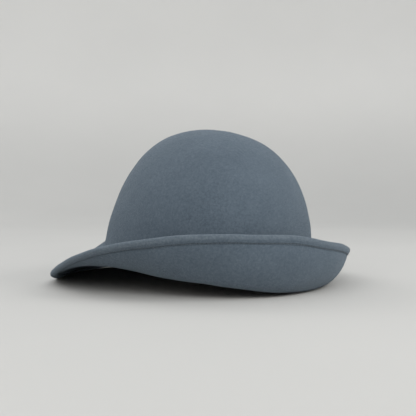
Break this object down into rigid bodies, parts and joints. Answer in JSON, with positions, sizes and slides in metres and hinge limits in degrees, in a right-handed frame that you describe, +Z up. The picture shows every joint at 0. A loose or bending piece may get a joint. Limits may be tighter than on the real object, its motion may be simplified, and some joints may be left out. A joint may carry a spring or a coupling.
{
  "type": "cloche hat",
  "caption": "Felt cloche hat with a deep round crown, a brim turned up in front and at one side, a stitched turned edge and a ribbon headband.",
  "frame": {"origin": "centre of the bounding box, on the plane that the hat rests on", "axes": "+Z up from the plane that the hat rests on, the front of the hat towards -Y, the more strongly turned-up side of the brim at +X"},
  "size_m": [0.2464, 0.2752, 0.125],
  "materials": {
    "wool_felt": "matte felt with a short nap",
    "ribbon": "matte ribbed ribbon"
  },
  "bodies": {
    "root": {"felt_hood": "wool_felt", "inner_headband": "ribbon"}
  },
  "joints": []
}
